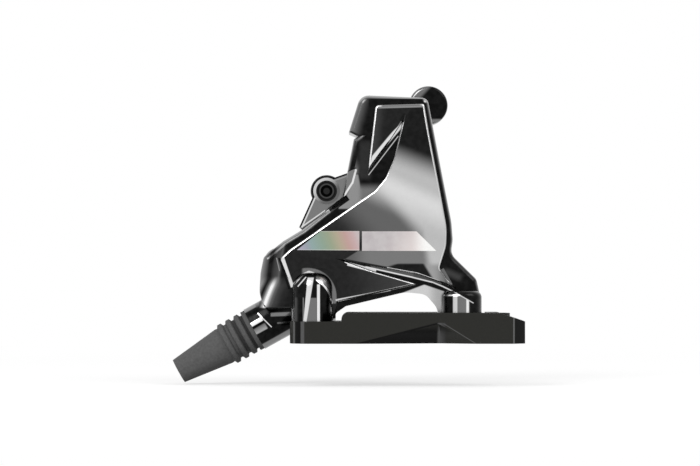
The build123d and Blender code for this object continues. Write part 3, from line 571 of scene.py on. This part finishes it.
# The inboard body half: the same polished aluminium. From the front only the bleed port's
# round boss shows, painted near black with a painted highlight at its upper left and along its
# lower edge.
inner_finish, inner, point, (x, y, z), (nx, ny, nz) = finish_named("polished inboard half", metallic=1.0)
front = ny * -1
boss = painted(
    front.ease(0.15, 0.7).tint(grey(84), grey(19)),
    (1 - right_of(x, z, (-0.7, 56.2), (1.23, 58.3), 0.5), 112),
    (1 - z.ease(51.3, 51.8), 118),
)
boss = painted(front.ease(0.4, 0.9).tint(grey(140), grey(20)), (z.ease(46.0, 47.0), boss))
worn(front.ease(-0.05, 0.06).tint(painted_side_shading(nx, ny, nz, x, z), boss), point, inner)
dressed("inboard_half", "caliper", inner_finish)


# The printed foil strip on the face: two pieces, a rainbow film and a pale silver one.
# Film a few hundredths of a millimetre thick, pressed on so that it follows the crown.
front_face = -1.5
crown_height = 30.8
crown_radius = 150.0
film_lift = 0.03
film_root = 0.004


def on_crown(px, pz, lift):
    """A place on the crowned face, in metres, lifted off it."""
    fall = crown_radius - math.sqrt(crown_radius ** 2 - (pz - crown_height) ** 2)
    return Vector((px, front_face + fall - lift, pz)) / 1000.0


def film(name, corners, material, rows=8, columns=24):
    """A thin closed film on the crown, between four corners given as x and z."""
    left_top, right_top, right_low, left_low = [Vector(corner) for corner in corners]
    mesh = bpy.data.meshes.new(name)
    work = bmesh.new()
    for depth in (film_lift, film_root):
        for row in range(rows + 1):
            left = left_top.lerp(left_low, row / rows)
            right = right_top.lerp(right_low, row / rows)
            for column in range(columns + 1):
                place = left.lerp(right, column / columns)
                work.verts.new(on_crown(place.x, place.y, depth))
    work.verts.index_update()
    work.verts.ensure_lookup_table()
    wide = columns + 1
    layer = wide * (rows + 1)
    for row in range(rows):
        for column in range(columns):
            corner = row * wide + column
            quad = (corner, corner + 1, corner + wide + 1, corner + wide)
            work.faces.new([work.verts[place] for place in quad])
            work.faces.new([work.verts[place + layer] for place in reversed(quad)])
    rims = [edge for edge in work.edges if edge.is_boundary and max(v.index for v in edge.verts) < layer]
    for edge in rims:
        first, second = edge.verts
        work.faces.new([first, second, work.verts[second.index + layer], work.verts[first.index + layer]])
    bmesh.ops.recalc_face_normals(work, faces=work.faces)
    work.to_mesh(mesh)
    work.free()
    mesh.materials.append(material)
    piece = bpy.data.objects.new(name, mesh)
    bpy.context.scene.collection.objects.link(piece)
    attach(piece, "caliper")


foil_finish, foil, point, (x, y, z), _ = finish_named("rainbow foil", metallic=1.0)
sweep = (x + (z - 23.4) * 0.35 + 28.5) * (1 / 13.9)
rainbow = sweep.out("ShaderNodeValToRGB", {"stops": (
    (0.00, colour(172, 168, 184)), (0.10, colour(156, 162, 172)), (0.20, colour(146, 168, 166)),
    (0.38, colour(144, 164, 148)), (0.52, colour(154, 164, 140)), (0.66, colour(178, 168, 146)),
    (0.80, colour(192, 160, 154)), (0.92, colour(198, 172, 172)), (1.00, colour(198, 186, 186)))}, i0=sweep)
border = (z - 23.35).math("ABSOLUTE").ease(1.95, 2.15) * 0.5
join(border.tint(rainbow, colour(226, 226, 222)), foil, "Base Color")
join(grain(point, 1500.0) * 0.08 + 0.26, foil, "Roughness")
silver_finish, silver, point, (x, y, z), _ = finish_named("silver foil", metallic=1.0)
fade = (x - z * 0.4).ease(-20.0, -8.5)
pale = fade.tint(colour(186, 180, 182), colour(226, 216, 214))
pale = x.ease(-3.0, 1.0).tint(pale, colour(250, 250, 248))
cloud = grain(point, 420.0).ease(0.35, 0.7) * 0.3
join(cloud.tint(pale, colour(222, 220, 218)), silver, "Base Color")
join(grain(point, 1500.0) * 0.08 + 0.26, silver, "Roughness")
film("foil_left", ((-23.4, 25.5), (-14.6, 25.5), (-14.6, 21.1), (-28.8, 21.2)), foil_finish)
film("foil_right", ((-14.0, 25.45), (-1.6, 25.45), (2.9, 21.0), (-14.0, 21.0)), silver_finish)


# The adapter plate: milled aluminium, bead-blasted and anodised satin black. Its slanting
# hollow is painted nearly black as shade, and its rounded ends carry painted upright bands of
# light and dark reflection, with a painted light band and line beside the hollow.
plate_finish, plate, point, (x, y, z), (nx, ny, nz) = finish_named(
    "satin black", 0.35, 0.42, Specular_IOR_Level=0.12
)
front = ny * -1
blast = grain(point, 5200.0, 2.0)
satin = blast.tint(colour(34, 34, 32), colour(44, 44, 41))
hollow = right_of(x, z, (-14.0, 0.46), (3.1, 4.79)) * (1 - x.ease(3.0, 3.2))
face = painted(
    satin,
    (hollow, 8),
    (x.between(3.15, 4.9, 0.3) * (1 - z.ease(4.6, 4.85)), x.ease(3.2, 5.0).tint(grey(78), grey(50))),
    (stroke(x, z, (4.47, 4.56), (11.8, 0.0), 0.07), 84),
    (x.between(-29.1, -27.9, 0.15), 8),
    (x.between(-29.6, -29.25, 0.08), 88),
    (x.between(-27.9, -27.1, 0.12), 78),
    (x.between(20.2, 20.5, 0.06), 92),
    (x.ease(20.5, 20.7), 8),
)
join(front.ease(0.3, 0.6).tint(satin, face), plate, "Base Color")
join(blast * 0.16 + 0.36, plate, "Roughness")
bumped(blast, plate, 0.08, 0.00003)
dressed("adapter_plate", "caliper", plate_finish)


# The turns of the M5 thread in the plate's two frame holes, cut after anodising, so brighter.
# They repeat up the hole: Geometry Nodes set one ridge per turn along the hole's axis.
def thread_tree(material):
    """One ridge per turn, up a hole."""
    tree = bpy.data.node_groups.new("thread turns", "GeometryNodeTree")
    inputs = (("Turns", "NodeSocketInt"), ("Pitch", "NodeSocketFloat"), ("Radius", "NodeSocketFloat"),
              ("Ridge", "NodeSocketFloat"))
    for name, kind in inputs:
        tree.interface.new_socket(name, in_out="INPUT", socket_type=kind)
    tree.interface.new_socket("Geometry", in_out="OUTPUT", socket_type="NodeSocketGeometry")
    given = tree.nodes.new("NodeGroupInput").outputs
    start = Signal(tree)
    rise = start.out("ShaderNodeCombineXYZ", Z=Signal(tree, given["Pitch"]))
    turns = start.out("GeometryNodeMeshLine", Count=Signal(tree, given["Turns"]), Offset=rise)
    path = start.out("GeometryNodeCurvePrimitiveCircle", Resolution=48, Radius=Signal(tree, given["Radius"]))
    profile = start.out("GeometryNodeCurvePrimitiveCircle", Resolution=4, Radius=Signal(tree, given["Ridge"]))
    ridge = start.out("GeometryNodeCurveToMesh", i0=path, i1=profile)
    set_up = start.out("GeometryNodeInstanceOnPoints", Points=turns, Instance=ridge)
    real = start.out("GeometryNodeRealizeInstances", i0=set_up)
    finished = start.out("GeometryNodeSetMaterial", Geometry=real, Material=material)
    tree.links.new(finished.socket, tree.nodes.new("NodeGroupOutput").inputs["Geometry"])
    return tree


def grown(name, tree, place, **values):
    """A mesh made by a Geometry Nodes tree, set at its place."""
    seed = bpy.data.objects.new(name + "_seed", bpy.data.meshes.new(name + "_seed"))
    bpy.context.scene.collection.objects.link(seed)
    modifier = seed.modifiers.new("turns", "NODES")
    modifier.node_group = tree
    for item in tree.interface.items_tree:
        if item.name in values:
            modifier[item.identifier] = values[item.name]
    bpy.context.view_layer.update()
    mesh = bpy.data.meshes.new_from_object(seed.evaluated_get(bpy.context.evaluated_depsgraph_get()))
    seed.modifiers.remove(modifier)
    bpy.data.objects.remove(seed)
    mesh.transform(Matrix.Translation(place))
    piece = bpy.data.objects.new(name, mesh)
    bpy.context.scene.collection.objects.link(piece)
    return piece


thread_finish, thread, point, _, _ = finish_named("cut thread", metallic=1.0)
cut = grain(point, 3000.0)
join(cut.tint(grey(96), grey(150)), thread, "Base Color")
join(cut * 0.1 + 0.25, thread, "Roughness")
turns_tree = thread_tree(thread_finish)
thread_sizes = {"Turns": 6, "Pitch": 0.0008, "Radius": 0.0021, "Ridge": 0.00016}
first_turn = 0.0006
for side, hole_x in (("left", -0.017), ("right", 0.017)):
    turns = grown(side + "_hole_thread", turns_tree, (hole_x, 0, first_turn), **thread_sizes)
    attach(turns, "caliper")


# The hose boot: moulded rubber, matt, pushed over the hose and onto the inlet. Painted shade
# makes it darker in the grooves between its ribs and on its underside.
boot_finish, boot, point, (x, y, z), (nx, ny, nz) = finish_named("boot rubber", Specular_IOR_Level=0.2)
mould = grain(point, 1800.0, 4.0)
from_axis = (x - hose_tip.x) * -hose_climb + (z - hose_tip.z) * hose_run
groove_depth = (from_axis * from_axis + (y - hose_tip.y) * (y - hose_tip.y)).math("SQRT")
rubber = mould.tint(grey(64), grey(92))
from_tip = (x - hose_tip.x) * hose_run + (z - hose_tip.z) * hose_climb
groove_shade = (1 - groove_depth.ease(4.2, 4.75)) * from_tip.ease(11.6, 12.2)
rubber = painted(rubber, (groove_shade, 46), ((nz * -1).ease(0.35, 0.9) * 0.5, 34))
join(rubber, boot, "Base Color")
join(mould * 0.18 + 0.66, boot, "Roughness")
bumped(mould, boot, 0.15, 0.00005)
dressed("hose_boot", "caliper", boot_finish)


# The pad pin: a turned steel screw, blackened; its head has a bright turned ring round a dark
# hex socket, as the photograph shows. It is screwed through the ear.
pin_finish, pin, point, (x, y, z), (nx, ny, nz) = finish_named("turned pin", metallic=1.0, roughness=0.3)
pin_centre = (-22.11, 34.71)
from_centre = ring(x, z, pin_centre, 0.0)
# The head's rings by distance from its axis; the hex socket's near black is painted shade.
head = from_centre.ramp(
    0, 3, (0.0, 44), (0.70, 44), (0.78, 8), (1.36, 8), (1.44, 74), (1.70, 62), (1.78, 26), (2.10, 24),
    (2.2, 52),
)
turning = grain(point, 1500.0, 4.0)
join((ny * -1).ease(0.2, 0.5).tint(turning.tint(grey(36), grey(62)), head), pin, "Base Color")
join(turning * 0.12 + 0.26, pin, "Roughness")
bumped(turning, pin, 0.05, 0.00003)
dressed("pad_pin", "caliper", pin_finish)


# The small parts inside and behind: bolts, spring, clip, nut, olive, pistons, pads, seals and the
# bleed port's screw and cap. Each has its own stock and finish, streaked as it is turned, drawn,
# sintered or moulded, and each rides on the body that it moves with.
def plain_metal(name, dark, light, roughness, scale, bump=0.05, metallic=1.0):
    """A material streaked between two tones."""
    material, shader, point, _, _ = finish_named(name, metallic=metallic, roughness=roughness)
    streak = grain(point, scale, 4.0)
    join(streak.ease(0.3, 0.7).tint(dark, light), shader, "Base Color")
    join(streak * 0.12 + (roughness - 0.05), shader, "Roughness")
    bumped(streak, shader, bump, 0.00003)
    return material


black_steel = plain_metal("blackened steel", grey(26), grey(52), 0.34, 1500.0)
spring_steel = plain_metal("spring steel", grey(150), grey(186), 0.28, 900.0)
pad_steel = plain_metal("painted pad steel", grey(58), grey(78), 0.5, 1100.0, 0.12, 0.6)
friction_block = plain_metal(
    "sintered friction", colour(70, 62, 52), colour(126, 112, 92), 0.8, 2600.0, 0.5, 0.35
)
piston_stock = plain_metal("piston", grey(126), grey(150), 0.3, 700.0)
brass = plain_metal("brass", colour(176, 140, 70), colour(206, 170, 96), 0.28, 1200.0)
seal_rubber = plain_metal("seal rubber", grey(18), grey(32), 0.6, 2000.0, 0.1, 0.0)
cap_plastic = plain_metal("cap plastic", grey(26), grey(40), 0.5, 1600.0, 0.08, 0.0)

small_parts = {
    "pad_pin_clip": ("caliper", "spring_steel", spring_steel),
    "pad_spring": ("caliper", "spring_steel", spring_steel),
    "upper_body_bolt": ("caliper", "black_steel", black_steel),
    "lower_body_bolt": ("caliper", "black_steel", black_steel),
    "left_adapter_bolt": ("caliper", "black_steel", black_steel),
    "right_adapter_bolt": ("caliper", "black_steel", black_steel),
    "compression_nut": ("caliper", "brass", brass),
    "olive": ("caliper", "brass", brass),
    "outboard_piston_seal": ("caliper", "seal_rubber", seal_rubber),
    "inboard_piston_seal": ("caliper", "seal_rubber", seal_rubber),
    "crossover_seal": ("caliper", "seal_rubber", seal_rubber),
    "outboard_piston": ("outboard_piston_body", "piston", piston_stock),
    "inboard_piston": ("inboard_piston_body", "piston", piston_stock),
    "outboard_pad_backing": ("outboard_pad", "backing_steel", pad_steel),
    "outboard_pad_friction": ("outboard_pad", "friction", friction_block),
    "inboard_pad_backing": ("inboard_pad", "backing_steel", pad_steel),
    "inboard_pad_friction": ("inboard_pad", "friction", friction_block),
    "bleed_screw": ("bleed_screw_body", "black_steel", black_steel),
    "bleed_screw_seal": ("bleed_screw_body", "seal_rubber", seal_rubber),
    "bleed_cap": ("bleed_cap_body", "cap_plastic", cap_plastic),
}
for name, (body_name, slot, material) in small_parts.items():
    dressed(name, body_name, material)
